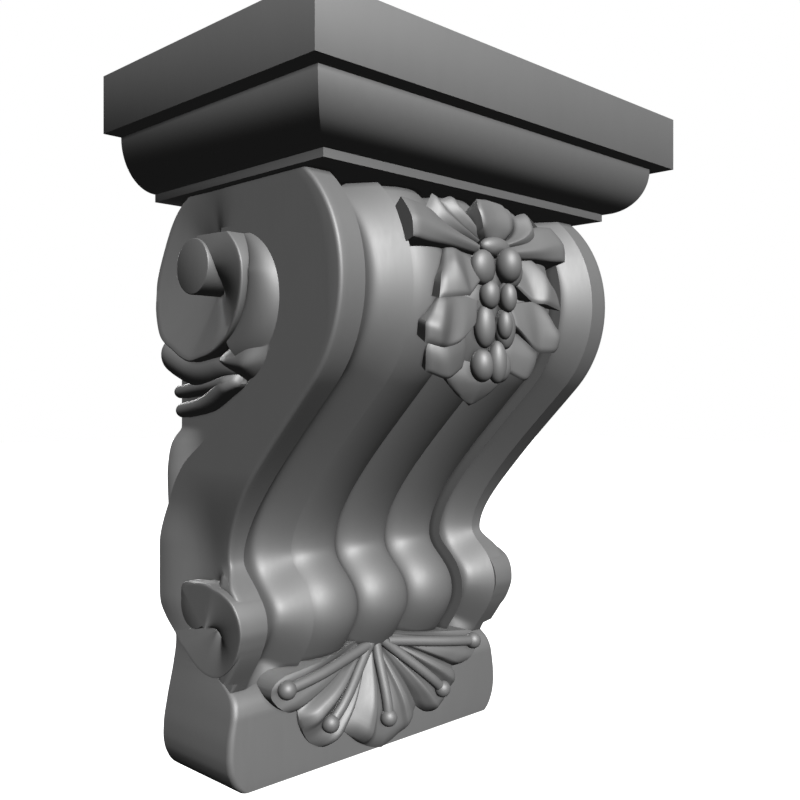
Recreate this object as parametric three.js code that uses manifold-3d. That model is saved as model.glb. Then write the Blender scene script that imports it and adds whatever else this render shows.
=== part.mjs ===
// Carved wall bracket: a moulded cap board resting on one carved console.
// Millimetres, +Z up, front towards -Y, wall face on y = 0, origin at mid-height of the wall face.
// "reach" is a distance out from the wall, "drop" a distance below the top of the cap.
import * as THREE from 'three';
import { mergeVertices } from 'three/addons/utils/BufferGeometryUtils.js';
import Module from 'manifold-3d';

const wasm = await Module();
wasm.setup();

// Overall height and the clear joint between the cap and the console
const HEIGHT = 300;
const JOINT = 0.3;

// Facets closer than this are merged after joining, and points closer than this are one point
const MERGE = 0.2;
const SAME_POINT = 1e-4;

// Cap board: slab, step, quarter-round and fillet, mitred on three sides
const CAP_WIDTH = 228;
const CAP_DEPTH = 138.6;
const SLAB_THICK = 24.4;
const STEP_IN = 8.2;
const ROUND_IN = 16.5;
const ROUND_HIGH = 22;
const ROUND_STEPS = 9;
const FILLET_HIGH = 3.4;
const CAP_HIGH = SLAB_THICK + ROUND_HIGH + FILLET_HIGH;

// Console: its half-width, how far it runs up behind the cap before trimming, and the trimming blocks' size
const HALF_WIDTH = 85.5;
const OVERLAP = 5;
const TRIM = 400;

// S-shaped front line: the belly's arc, the slope, the waist, the curl and the foot.
// "above" and "below" are the drops of the handles that bend the line there.
const BELLY = { reach: 64.2, drop: 92.3, radius: 54.7, end: Math.PI / 4 };
const SLOPE_LEAD = 22;
const WAIST = { reach: 43.8, drop: 204, above: 185, below: 211 };
const CURL = { reach: 59.4, drop: 231, above: 215, below: 241 };
const FOOT = { reach: 42, drop: 260, leadReach: 50, leadDrop: 249 };
const FRONT_STEPS = 6;

// Front relief: edge listel, rounded V cove, arris, then three convex ribs
const EDGE_ROUND = 1.4;
const COVE = { outer: 73.4, inner: 48.1, depth: 9, soft: 0.25, steps: 4 };
const RIB_COUNT = 3;
const RIB_HALF = COVE.inner / RIB_COUNT;
const RIB = { depth: 10.2, turn: 1.3, steps: 4 };

// Side faces: hollowed behind the S-shaped band, and dished between the waist and the curl
const HOLLOW = { depth: 10, slope: 1.28, edge: 188.2, reach: 72, blend: 22.8, top: 92, full: 116 };
const DISH = { depth: 5, top: 178, full: 200, reach: 28 };
const SIDE_SHARES = [0, 0.22, 0.44, 0.66, 0.86];

// Side volutes: ramps that wind in and rise outwards, from start to start + rise above the side face.
// "shrink" is the turn over which the radius falls from outer to inner.
const RAMP_STEPS = 19;
const RAMP_CORE = 3;
const RAMP_LIP = 0.84;
const RAMP_CURVE = 0.6;
const SHRINK = { from: 1.9, to: 3.6 };
const SIDE_ROOT = 22;
const UPPER = {
  reach: 39.9, drop: 87.8, outer: 41, inner: 31.2, turn: 5.67, dip: 2.6, start: -4.6, rise: 14.9,
};
const LOWER = {
  reach: 35.3, drop: 230.3, outer: 25.5, inner: 22.8, turn: 5.6, dip: 4.2, start: -3.4, rise: 6.2,
};
const EYE = { reach: 42.6, drop: 83, base: 11.4, tip: 10.8, height: 12.5 };
const SHOULDER = { reach: 55, drop: 98, base: 28.5, tip: 20.5, height: 5 };
const BOSS_SIDES = 16;
const SCROLL_END = { reach: 25.5, drop: 222.5, long: 14, high: 9.5, height: 4.5 };

// Foot block: barrel-sided, flat at the front and underneath, leaning back at its top
const BLOCK = { reach: 50.2, top: 243, half: 85.2, taper: 6.6, round: 7, steps: 12 };
const BLOCK_LEAN = { back: 13, top: 235, full: 265 };
const BARREL = { from: 0.32, span: 0.45 };

// Section of a leaf as (across, lift) shares, the share of its width left at its foot, and the lie of
// its widest and tapering parts
const LEAF_SECTION = [[-1, 0.35], [-0.55, 0.75], [0, 1], [0.55, 0.75], [1, 0.35]];
const LEAF_FOOT = 0.8;
const LEAF_TAPER = 0.6;
const PETAL_ROUND = 0.25;
const LEAF = { blunt: 0.12, root: 0.45, rise: 0.5, sink: 4, steps: 5 };

// Leaf drop. Crown blades and side leaves are (across, drop, width or length), berries (drop, width, height).
const CROWN_HUB = [0, 74];
const CROWN = [[47, 67, 6.5], [33, 57, 7], [17, 53, 6.5]];
const CROWN_BEND = 0.55;
const CROWN_LEAF = { lift: 8, blunt: 0.7, root: 0.5 };
const CROWN_TOP = { line: [CROWN_HUB, [0, 64], [0, 52]], width: 8, lift: 9, blunt: 0.6 };
const SIDE_LEAVES = [[6, 79, 40], [5, 97, 42], [4, 114, 31]];
const SIDE_LEAF = { width: 10, lift: 9, root: 0.7, bend: 0.55, tip: 0.85, fall: 18 };
const END_WING = { line: [[4, 123], [16, 124], [24, 133]], width: 9, lift: 6 };
const END_LEAF = { line: [[0, 118], [0, 128], [0, 139]], width: 11, lift: 7 };
const BERRIES = [[81.5, 7.8, 7.8], [95, 5.6, 7.8], [106.5, 5, 7.6], [120, 5, 10]];
const BERRY_LIFT = 5.5;
const BUD = { across: 8, drop: 121, lift: 5, width: 5, height: 9 };

// Foot palmette: petals are (across, drop, width), stamens (across, drop), on both sides of the middle
const FAN_HUB = [0, 250];
const FAN_EDGE = 252;
const PETALS = [[0, 299, 17], [40, 290, 15], [71, 262, 13]];
const PETAL = { lift: 5, root: 0.2, sink: 6, steps: 8, bend: 0.45, bow: 0.06 };
const STAMENS = [[0, 285], [36, 279.5], [60.6, 259.5]];
const STAMEN = { width: 1.7, lift: 8.5, blunt: 0.8, root: 0.8, rise: 0.2, bend: 0.5, bow: 0.05 };
const STAMEN_BALL = { radius: 3.8, lift: 6 };

// Leaf sprig in the hollow under an upper volute, as (reach, drop) lines
const STEM = [66, 124];
const LOBES = [
  { line: [STEM, [42, 119], [14, 117]], width: 6, lift: 6 },
  { line: [STEM, [44, 128], [5, 130]], width: 4.5, lift: 5.5 },
  { line: [STEM, [44, 134], [6, 140]], width: 4.5, lift: 5 },
];
const LOBE = { blunt: 0.5, root: 0.6, rise: 0 };
const LIP = { line: [[78, 114], [66, 119], [48, 121]], width: 7, lift: 6, rise: 0.3 };

const TOP_Z = HEIGHT / 2;
const PAINTED_WOOD = { color: 0x909090, roughness: 0.6, metalness: 0 };

const at = (x, reach, drop) => new THREE.Vector3(x, -reach, TOP_Z - drop);
const smooth = (low, high, value) => THREE.MathUtils.smoothstep(value, low, high);

// The console's front line as points (reach, -drop)
function frontLine() {
  const path = new THREE.Path();
  const first = Math.asin((BELLY.drop - CAP_HIGH + OVERLAP) / BELLY.radius);
  path.absarc(BELLY.reach, -BELLY.drop, BELLY.radius, first, -BELLY.end, true);
  const leadReach = BELLY.reach + BELLY.radius * Math.cos(BELLY.end) - SLOPE_LEAD;
  const leadDrop = BELLY.drop + BELLY.radius * Math.sin(BELLY.end) + SLOPE_LEAD;
  path.bezierCurveTo(leadReach, -leadDrop, WAIST.reach, -WAIST.above, WAIST.reach, -WAIST.drop);
  path.bezierCurveTo(WAIST.reach, -WAIST.below, CURL.reach, -CURL.above, CURL.reach, -CURL.drop);
  path.bezierCurveTo(CURL.reach, -CURL.below, FOOT.leadReach, -FOOT.leadDrop, FOOT.reach, -FOOT.drop);
  return path.getPoints(FRONT_STEPS);
}

const FRONT_LINE = frontLine();

// Reach of the console's front line at a drop
function frontReach(drop) {
  const next = FRONT_LINE.findIndex((p) => -p.y >= drop);
  if (next < 1) {
    return next === 0 ? FRONT_LINE[0].x : FOOT.reach;
  }
  const a = FRONT_LINE[next - 1];
  const b = FRONT_LINE[next];
  return THREE.MathUtils.mapLinear(drop, -a.y, -b.y, a.x, b.x);
}

// Flat triangles over a ring of points, in the order of the ring
function ringFaces(ring) {
  const normal = new THREE.Vector3();
  ring.forEach((p, k) => normal.add(p.clone().cross(ring[(k + 1) % ring.length])));
  normal.normalize();
  const side = Math.abs(normal.z) > 0.9 ? new THREE.Vector3(1, 0, 0) : new THREE.Vector3(0, 0, 1);
  const u = side.cross(normal).normalize();
  const v = normal.clone().cross(u);
  const flat = ring.map((p) => new THREE.Vector2(p.dot(u), p.dot(v)));
  return THREE.ShapeUtils.triangulateShape(flat, []).map(([a, b, c]) => {
    const turn = (flat[b].x - flat[a].x) * (flat[c].y - flat[a].y)
      - (flat[b].y - flat[a].y) * (flat[c].x - flat[a].x);
    return turn > 0 ? [a, b, c] : [a, c, b];
  });
}

// A closed geometry through rings of equal count, with flat ends
function loft(rings) {
  const count = rings[0].length;
  const last = (rings.length - 1) * count;
  const faces = [];
  for (let r = 0; r < rings.length - 1; r += 1) {
    for (let k = 0; k < count; k += 1) {
      const a = r * count + k;
      const b = r * count + ((k + 1) % count);
      faces.push([a, b, b + count], [a, b + count, a + count]);
    }
  }
  ringFaces(rings[0]).forEach(([a, b, c]) => faces.push([a, c, b]));
  ringFaces(rings[rings.length - 1]).forEach(([a, b, c]) => faces.push([last + a, last + b, last + c]));
  const points = rings.flat();
  const volume = faces.reduce((sum, [a, b, c]) => sum + points[a].dot(points[b].clone().cross(points[c])), 0);
  const index = faces.flatMap(([a, b, c]) => (volume > 0 ? [a, b, c] : [a, c, b]));
  const geometry = new THREE.BufferGeometry().setFromPoints(points);
  geometry.setIndex(index);
  return geometry;
}

// A solid for joining and cutting
function solid(geometry) {
  geometry.deleteAttribute('normal');
  geometry.deleteAttribute('uv');
  const merged = mergeVertices(geometry, SAME_POINT);
  const vertProperties = Float32Array.from(merged.attributes.position.array);
  const triVerts = Uint32Array.from(merged.index.array);
  return new wasm.Manifold(new wasm.Mesh({ numProp: 3, vertProperties, triVerts }));
}

function geometryOf(shape) {
  const mesh = shape.getMesh();
  const geometry = new THREE.BufferGeometry();
  geometry.setAttribute('position', new THREE.BufferAttribute(Float32Array.from(mesh.vertProperties), 3));
  geometry.setIndex(Array.from(mesh.triVerts));
  return geometry;
}

const join = (shapes) => shapes.reduce((whole, shape) => whole.add(shape));

function box(width, depth, height, centre) {
  const geometry = new THREE.BoxGeometry(width, depth, height);
  geometry.translate(centre.x, centre.y, centre.z);
  return solid(geometry);
}

function capBoard() {
  const half = CAP_WIDTH / 2;
  const lines = [[0, 0], [0, SLAB_THICK], [STEP_IN, SLAB_THICK]];
  for (let k = 1; k <= ROUND_STEPS; k += 1) {
    const turn = (k / ROUND_STEPS) * Math.PI / 2;
    lines.push([STEP_IN + ROUND_IN * (1 - Math.cos(turn)), SLAB_THICK + ROUND_HIGH * Math.sin(turn)]);
  }
  lines.push([STEP_IN + ROUND_IN, CAP_HIGH]);
  return loft(lines.map(([inset, drop]) => [
    at(-half + inset, 0, drop),
    at(-half + inset, CAP_DEPTH - inset, drop),
    at(half - inset, CAP_DEPTH - inset, drop),
    at(half - inset, 0, drop),
  ]));
}

// Half-width of the console's side face at a reach and drop
function sideHalf(reach, drop) {
  const edge = Math.min((HOLLOW.edge - drop) * HOLLOW.slope, HOLLOW.reach);
  const hollow = HOLLOW.depth * smooth(0, HOLLOW.blend, edge - reach) * smooth(HOLLOW.top, HOLLOW.full, drop);
  const dish = DISH.depth * smooth(DISH.top, DISH.full, drop) * smooth(0, DISH.reach, reach);
  return HALF_WIDTH - hollow - dish;
}

// Points [x, depth] across the front, from the left edge to the right edge
function frontSection() {
  const half = [[HALF_WIDTH - EDGE_ROUND, 0]];
  const middle = (COVE.outer + COVE.inner) / 2;
  const coveHalf = (COVE.outer - COVE.inner) / 2;
  const soft = (t) => Math.sqrt(t * t + COVE.soft * COVE.soft) - COVE.soft;
  for (let k = 0; k <= COVE.steps; k += 1) {
    const t = 1 - 2 * (k / COVE.steps);
    half.push([middle + t * coveHalf, COVE.depth * (1 - soft(t) / soft(1))]);
  }
  const ribs = [];
  for (let r = 0; r < RIB_COUNT; r += 1) {
    const centre = (2 * r + 1 - RIB_COUNT) * RIB_HALF;
    for (let k = 0; k <= RIB.steps; k += 1) {
      const turn = RIB.turn * (2 * (k / RIB.steps) - 1);
      ribs.push([centre + RIB_HALF * Math.sin(turn), RIB.depth * (1 - Math.cos(turn))]);
    }
  }
  const left = half.map(([x, depth]) => [-x, depth]);
  return [...left, ...ribs, ...half.reverse()];
}

// The S-shaped body: one ring for each station down the front line
function body() {
  const section = frontSection();
  const rings = FRONT_LINE.map((p, k) => {
    const before = FRONT_LINE[Math.max(k - 1, 0)];
    const after = FRONT_LINE[Math.min(k + 1, FRONT_LINE.length - 1)];
    const along = after.clone().sub(before).normalize();
    const drop = -p.y;
    const edge = p.x - EDGE_ROUND;
    const reaches = [...SIDE_SHARES.map((share) => share * p.x), edge];
    const left = reaches.map((reach) => at(-sideHalf(reach, drop), reach, drop));
    const right = left.map((q) => new THREE.Vector3(-q.x, q.y, q.z)).reverse();
    const narrow = sideHalf(p.x, drop) / HALF_WIDTH;
    const front = section.map(([x, depth]) => at(x * narrow, p.x + along.y * depth, drop + along.x * depth));
    return [...left, ...front, ...right];
  });
  return solid(loft(rings));
}

function footBlock() {
  const rings = [];
  for (let k = 0; k <= BLOCK.steps; k += 1) {
    const t = k / BLOCK.steps;
    const drop = THREE.MathUtils.lerp(BLOCK.top, HEIGHT, t);
    const swell = Math.sin(Math.PI * (BARREL.from + BARREL.span * t));
    const under = Math.max(0, drop - (HEIGHT - BLOCK.round));
    const round = BLOCK.round - Math.sqrt(BLOCK.round ** 2 - under ** 2);
    const half = BLOCK.half - BLOCK.taper * (1 - swell) - round;
    const reach = BLOCK.reach - BLOCK_LEAN.back * (1 - smooth(BLOCK_LEAN.top, BLOCK_LEAN.full, drop));
    rings.push([at(-half, 0, drop), at(-half, reach, drop), at(half, reach, drop), at(half, 0, drop)]);
  }
  return solid(loft(rings));
}

// A winding ramp on a side face. Its angle runs from straight up towards the wall and on around.
function ramp(side, spiral) {
  const floor = HALF_WIDTH - SIDE_ROOT;
  const rings = [];
  for (let k = 0; k <= RAMP_STEPS; k += 1) {
    const t = k / RAMP_STEPS;
    const turn = t * spiral.turn;
    const radius = THREE.MathUtils.lerp(spiral.outer, spiral.inner, smooth(SHRINK.from, SHRINK.to, turn));
    const top = HALF_WIDTH + spiral.start + spiral.rise * t ** RAMP_CURVE;
    const low = top - spiral.dip;
    const profile = [
      [RAMP_CORE, floor], [radius, floor], [radius, top], [RAMP_LIP * radius, low], [RAMP_CORE, low],
    ];
    rings.push(profile.map(([r, x]) => at(
      side * x,
      spiral.reach - r * Math.sin(turn),
      spiral.drop - r * Math.cos(turn),
    )));
  }
  return solid(loft(rings));
}

// A round boss standing on a side face
function boss(side, { reach, drop, base, tip, height }) {
  const geometry = new THREE.CylinderGeometry(tip, base, height + SIDE_ROOT, BOSS_SIDES);
  geometry.rotateZ(-side * Math.PI / 2);
  const place = at(side * (HALF_WIDTH + (height - SIDE_ROOT) / 2), reach, drop);
  geometry.translate(place.x, place.y, place.z);
  return solid(geometry);
}

function ball(place, width, depth, height) {
  const geometry = new THREE.SphereGeometry(1, 8, 6);
  geometry.scale(width, depth, height);
  geometry.translate(place.x, place.y, place.z);
  return solid(geometry);
}

// Half-width of a pointed leaf and of a fan-shaped petal, as shares of the full width
function pointed(t, root) {
  const taper = Math.cos(Math.PI / 2 * Math.max(0, (t - 1 + LEAF_TAPER) / LEAF_TAPER));
  return THREE.MathUtils.lerp(root, 1, Math.sin(Math.PI * Math.min(0.5, t))) * taper;
}

function fanned(t, root) {
  const past = Math.max(0, (t - 1 + PETAL_ROUND) / PETAL_ROUND);
  return THREE.MathUtils.lerp(root, 1, t) * Math.sqrt(1 - past ** 2);
}

// A ridged leaf along a bent line, laid on a surface by place(a, b, lift)
function leaf(place, line, shape, settings) {
  const { width, lift, blunt, root, rise, sink, steps } = { ...LEAF, ...settings };
  const spine = new THREE.QuadraticBezierCurve(...line.map(([a, b]) => new THREE.Vector2(a, b)));
  const rings = [];
  for (let k = 0; k <= steps; k += 1) {
    const t = k / steps;
    const centre = spine.getPoint(t);
    const along = spine.getTangent(t);
    const half = width * Math.max(blunt, shape(t, root));
    const high = lift * (1 - rise + rise * t);
    const across = (u, h) => place(centre.x - along.y * u * half, centre.y + along.x * u * half, h);
    const ring = LEAF_SECTION.map(([u, h]) => across(u, h * high));
    ring.push(across(LEAF_FOOT, -sink));
    ring.push(across(-LEAF_FOOT, -sink));
    rings.push(ring);
  }
  return solid(loft(rings));
}

const onFront = (x, drop, lift) => at(x, frontReach(drop) + lift, drop);
const onFoot = (x, drop, lift) => at(x, (drop > FAN_EDGE ? BLOCK.reach : frontReach(drop)) + lift, drop);
const mirrored = (side, line) => line.map(([x, drop]) => [side * x, drop]);

// Leaf drop on the belly: a crown of blades, paired leaves, berries and a pointed end
function leafDrop() {
  const shapes = [];
  for (const side of [-1, 1]) {
    for (const [x, drop, width] of CROWN) {
      const line = mirrored(side, [CROWN_HUB, [x * CROWN_BEND, drop - 1], [x, drop]]);
      shapes.push(leaf(onFront, line, pointed, { ...CROWN_LEAF, width }));
    }
    for (const [x, drop, long] of SIDE_LEAVES) {
      const bend = [x + SIDE_LEAF.bend * long, drop];
      const tip = [x + SIDE_LEAF.tip * long, drop + SIDE_LEAF.fall];
      shapes.push(leaf(onFront, mirrored(side, [[x, drop], bend, tip]), pointed, SIDE_LEAF));
    }
    shapes.push(leaf(onFront, mirrored(side, END_WING.line), pointed, END_WING));
    shapes.push(ball(onFront(side * BUD.across, BUD.drop, BUD.lift), BUD.width, BUD.width, BUD.height));
  }
  shapes.push(leaf(onFront, CROWN_TOP.line, pointed, CROWN_TOP));
  shapes.push(leaf(onFront, END_LEAF.line, pointed, END_LEAF));
  for (const [drop, width, height] of BERRIES) {
    shapes.push(ball(onFront(0, drop, BERRY_LIFT), width, width, height));
  }
  return shapes;
}

// The line of a petal or stamen from the hub to a tip, bowed upwards
function fanLine(side, x, drop, { bend, bow }) {
  const middle = [x * bend, (drop + FAN_HUB[1]) / 2 - x * bow];
  return mirrored(side, [FAN_HUB, middle, [x, drop]]);
}

// Foot palmette: five petals, each with a ball-ended stamen
function palmette() {
  const shapes = [];
  const { radius, lift } = STAMEN_BALL;
  const bothSides = ([x]) => (x === 0 ? [1] : [-1, 1]);
  for (const petal of PETALS) {
    const [x, drop, width] = petal;
    for (const side of bothSides(petal)) {
      shapes.push(leaf(onFoot, fanLine(side, x, drop, PETAL), fanned, { ...PETAL, width }));
    }
  }
  for (const stamen of STAMENS) {
    const [x, drop] = stamen;
    for (const side of bothSides(stamen)) {
      shapes.push(leaf(onFoot, fanLine(side, x, drop, STAMEN), pointed, STAMEN));
      shapes.push(ball(onFoot(side * x, drop, lift), radius, radius, radius));
    }
  }
  return shapes;
}

function sprig(side) {
  const onSide = (reach, drop, lift) => at(side * (sideHalf(reach, drop) + lift), reach, drop);
  const shapes = LOBES.map(({ line, width, lift }) => leaf(onSide, line, pointed, { ...LOBE, width, lift }));
  shapes.push(leaf(onSide, LIP.line, pointed, LIP));
  return shapes;
}

function sideCarving(side) {
  const end = at(side * HALF_WIDTH, SCROLL_END.reach, SCROLL_END.drop);
  return [
    ramp(side, UPPER),
    boss(side, SHOULDER),
    boss(side, EYE),
    ramp(side, LOWER),
    ball(end, SCROLL_END.height, SCROLL_END.long, SCROLL_END.high),
    ...sprig(side),
  ];
}

// The body, foot block and carving joined, then trimmed flat at the wall, the cap and the bottom
function carvedConsole() {
  const wall = box(TRIM, TRIM, TRIM, new THREE.Vector3(0, TRIM / 2, 0));
  const above = box(TRIM, TRIM, TRIM, at(0, 0, CAP_HIGH + JOINT - TRIM / 2));
  const below = box(TRIM, TRIM, TRIM, at(0, 0, HEIGHT + TRIM / 2));
  const carving = [...sideCarving(-1), ...sideCarving(1), ...leafDrop(), ...palmette()];
  const whole = join([body(), footBlock(), ...carving]);
  return geometryOf(whole.subtract(wall).subtract(above).subtract(below).simplify(MERGE));
}

function piece(name, geometry) {
  geometry.computeVertexNormals();
  const mesh = new THREE.Mesh(geometry, new THREE.MeshStandardMaterial(PAINTED_WOOD));
  mesh.name = name;
  return mesh;
}

const bracket = new THREE.Group();
bracket.add(piece('cap', capBoard()));
bracket.add(piece('console', carvedConsole()));

export default bracket;
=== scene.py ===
import math

import bpy
import numpy as np
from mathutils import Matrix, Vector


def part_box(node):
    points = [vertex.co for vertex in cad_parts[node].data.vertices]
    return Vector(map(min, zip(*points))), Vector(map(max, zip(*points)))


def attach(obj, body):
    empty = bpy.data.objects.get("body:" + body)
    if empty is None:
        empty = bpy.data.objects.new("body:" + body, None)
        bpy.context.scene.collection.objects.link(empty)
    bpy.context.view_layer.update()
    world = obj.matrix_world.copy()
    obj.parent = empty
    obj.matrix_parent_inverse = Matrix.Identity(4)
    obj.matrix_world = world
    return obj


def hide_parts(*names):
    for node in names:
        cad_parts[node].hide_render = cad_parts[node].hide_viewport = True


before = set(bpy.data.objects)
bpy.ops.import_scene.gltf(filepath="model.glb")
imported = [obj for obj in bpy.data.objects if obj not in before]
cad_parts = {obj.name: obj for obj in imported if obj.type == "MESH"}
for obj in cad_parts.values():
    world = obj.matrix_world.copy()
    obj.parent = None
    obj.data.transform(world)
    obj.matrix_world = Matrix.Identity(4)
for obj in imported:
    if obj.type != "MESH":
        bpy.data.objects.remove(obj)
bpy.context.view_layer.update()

bl_info = {
    "name": "Carved Wall Bracket",
    "version": (1, 0, 0),
    "blender": (4, 5, 0),
    "location": "3D View > Sidebar > Bracket",
    "description": "Models a carved and painted wall bracket under a moulded cap board",
    "category": "Object",
}

# The solids' box before anything is dressed, and the faces that place the new pieces
CAP_LOW, CAP_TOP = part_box("cap")
CONSOLE_LOW, CONSOLE_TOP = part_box("console")

# Lengths below are millimetres. "Reach" runs out from the wall, "drop" down from the top of the cap.
MM = 0.001
TOP_Z = CAP_TOP.z / MM
HEIGHT = TOP_Z - CONSOLE_LOW.z / MM
CAP_DROP = TOP_Z - CAP_LOW.z / MM
CONSOLE_DROP = TOP_Z - CONSOLE_TOP.z / MM

# Front line of the console: a round belly, a slope to the waist, a small curl and the foot. The belly
# starts a little above the cap's underside, and the pulls bend the curves between the other places.
BELLY = (64.2, 92.3)
BELLY_RADIUS = 54.7
BELLY_END = math.pi / 4
BELLY_ABOVE = 5
SLOPE_LEAD = 22
WAIST = (43.8, 204)
WAIST_PULL_DROP = 185
CURL = (59.4, 231)
CURL_PULL_DROPS = (211, 215)
FOOT = (43.6, 260)
FOOT_PULLS = ((CURL[0], 241), (50.6, 249.4))

# Bands across the front: the rounding of the edges, each cove's outer, inner and deepest lines as
# half-widths with the softness of its bottom, each rib's sweep to either side in radians, and the drops
# over which the relief dies out into the foot
EDGE_ROUND = 1.6
COVE_OUTER = 73.4
COVE_INNER = 48.1
COVE_DEEPEST = 61.4
COVE_SOFT = 0.28
RIB_SWEEP = 1.5
RELIEF_FADE = (261, 255)

# Rear edge of the S-shaped band on each side, as (drop, reach) knots, and the length of its fall to the
# ground behind it
BAND_EDGE = [
    (44, 20), (85, 22), (98, 36), (108, 56), (116, 70), (122, 71), (128, 66), (135, 58), (141.5, 51.2),
    (149.4, 40.5), (156, 29.5), (165, 16.4), (176.5, 7.6), (190, 2.6), (200, 1.7), (217, 1.7), (225.7, 2),
    (231.8, 4.3), (240, 10.8), (244, 14.8), (248.3, 21.8), (251.5, 29.5), (253.2, 42), (256, 64), (261, 66)]
BAND_FALL = [(44, 12), (124, 12), (134, 4), (140, 1.6), (150, 1.2), (180, 1.2), (261, 1.4)]
# Half-width of the ground at the wall, its level further out, and where it passes from one to the other
GROUND = [
    (44, 75.7), (149, 75.7), (153, 78.7), (156, 80.8), (161.5, 82.3), (170, 83.1), (180, 82.8), (215, 80),
    (245, 78.7), (261, 80.5)]
GROUND_LEVEL = 75.7
GROUND_TURN = (0, 17)
GROUND_TURN_FADE = (200, 180)
# A swell beside the wall and a dish in the waist, with the drops and reaches where each comes and goes
WALL_SWELL = 2.6
SWELL_DROPS = ((180, 200), (240, 222))
SWELL_REACH = (26, 0)
WAIST_DISH = 5
DISH_DROP = (166, 208)
DISH_REACH = (4, 34)
DISH_STOP_DROP = (205, 215)
DISH_STOP_REACH = (36, 44)

# Foot block: half-width and reach of its front as (drop, value) knots
BLOCK_REACH = 50.2
BLOCK_TOP = 226
BLOCK_CORNER = 2.6
BLOCK_HALF = [
    (BLOCK_TOP, 78.3), (245, 78.7), (254, 80), (269, 83.2), (280, 85), (285, 85.2), (290, 84.6),
    (295, 82.6), (298, 80.5), (HEIGHT, 78)]
BLOCK_FRONT = [
    (BLOCK_TOP, 31), (250, 33), (254, 36), (256.5, 40), (259, 44.5), (262, 47.8), (265, 49.4),
    (269, BLOCK_REACH), (HEIGHT, BLOCK_REACH)]
# The block's top edge turns fast, so it has close rows between these drops
BLOCK_EDGE = (248, 260)

# How far the rims of the leaves are worn down
LEAF_SOFT = 0.9

# Angles in degrees under which neighbouring faces are shaded as one
CAP_SMOOTH = 30
CONSOLE_SMOOTH = 34


def spot(x, reach, drop):
    """Points in the row frame, in millimetres."""
    x, reach, drop = np.broadcast_arrays(x, reach, drop)
    return np.stack([x, -reach, TOP_Z - drop], axis=-1).astype(float)


def ease(low, high, value):
    """A smooth step from 0 at low to 1 at high, where high may be the smaller."""
    t = np.clip((np.asarray(value, float) - low) / (high - low), 0, 1)
    return t * t * (3 - 2 * t)


def flow(knots, value):
    """A smooth curve through a few (place, value) knots, without overshoot."""
    knots = np.asarray(knots, float)
    x, y = knots[:, 0], knots[:, 1]
    secant = np.diff(y) / np.diff(x)
    before, after = secant[:-1], secant[1:]
    same_way = before * after > 0
    bend = np.where(same_way, 2 * before * after / np.where(same_way, before + after, 1), 0)
    slope = np.r_[secant[0], bend, secant[-1]]
    value = np.clip(np.asarray(value, float), x[0], x[-1])
    k = np.clip(np.searchsorted(x, value, side="right") - 1, 0, len(x) - 2)
    step = x[k + 1] - x[k]
    t = (value - x[k]) / step
    rise = y[k] * (1 + 2 * t) * (1 - t) ** 2 + y[k + 1] * t * t * (3 - 2 * t)
    return rise + step * t * (1 - t) * (slope[k] * (1 - t) - slope[k + 1] * t)


def bezier(points, count):
    """Points along a curve with two pulls between its ends."""
    points = np.asarray(points, float)
    t = np.linspace(0, 1, count)[:, None]
    while len(points) > 1:
        if points.ndim == 2:
            points = np.repeat(points[:, None, :], count, axis=1)
        points = points[:-1] * (1 - t) + points[1:] * t
    return points[0]


def evenly(line, count):
    """The same line with evenly spaced points."""
    steps = np.r_[0, np.cumsum(np.linalg.norm(np.diff(line, axis=0), axis=1))]
    at = np.linspace(0, steps[-1], count)
    return np.column_stack([np.interp(at, steps, line[:, k]) for k in range(line.shape[1])])


def front_line(count):
    """The console's front in side view, as (reach, drop) from above its top down into the foot."""
    first = math.asin((BELLY[1] - CAP_DROP + BELLY_ABOVE) / BELLY_RADIUS)
    turn = np.linspace(first, -BELLY_END, 80)
    belly = np.column_stack([
        BELLY[0] + BELLY_RADIUS * np.cos(turn),
        BELLY[1] - BELLY_RADIUS * np.sin(turn)])
    leave = belly[-1] + (-SLOPE_LEAD, SLOPE_LEAD)
    slope = bezier([belly[-1], leave, (WAIST[0], WAIST_PULL_DROP), WAIST], 80)
    curl = bezier([WAIST, (WAIST[0], CURL_PULL_DROPS[0]), (CURL[0], CURL_PULL_DROPS[1]), CURL], 50)
    foot = bezier([CURL, *FOOT_PULLS, FOOT], 50)
    return evenly(np.vstack([belly, slope[1:], curl[1:], foot[1:]]), count)


FRONT = front_line(400)
FRONT_TURN = np.gradient(FRONT, axis=0)
FRONT_TURN /= np.linalg.norm(FRONT_TURN, axis=1)[:, None]


def on_front(x, drop, lift):
    """Points on the console's front, lifted square to it."""
    reach = np.interp(drop, FRONT[:, 1], FRONT[:, 0])
    out = np.interp(drop, FRONT[:, 1], FRONT_TURN[:, 1])
    down = np.interp(drop, FRONT[:, 1], -FRONT_TURN[:, 0])
    return spot(x, reach + lift * out, drop + lift * down)


def on_foot(x, drop, lift):
    """Points on the foot block's front."""
    return spot(x, BLOCK_REACH + lift, drop)


def band_edge(drop):
    """Reach of the band's rear edge, and where its fall to the ground ends."""
    edge = flow(BAND_EDGE, drop)
    return edge, np.maximum(edge - flow(BAND_FALL, drop), 0.25 * edge)


def side_half(half, reach, drop):
    """Half-width of the console at a place on its side."""
    edge, low = band_edge(drop)
    turned = ease(*GROUND_TURN, reach) * ease(*GROUND_TURN_FADE, drop)
    ground = flow(GROUND, drop) * (1 - turned) + GROUND_LEVEL * turned
    come, go = SWELL_DROPS
    swell = WALL_SWELL * ease(*come, drop) * ease(*go, drop) * ease(*SWELL_REACH, reach)
    stop = ease(*DISH_STOP_DROP, drop) * ease(*DISH_STOP_REACH, reach)
    dish = WAIST_DISH * ease(*DISH_DROP, drop) * ease(*DISH_REACH, reach) * (1 - stop)
    front = ease(0, 1, (reach - low) / (edge - low))
    return ground + (half + swell - dish - ground) * front


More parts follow.
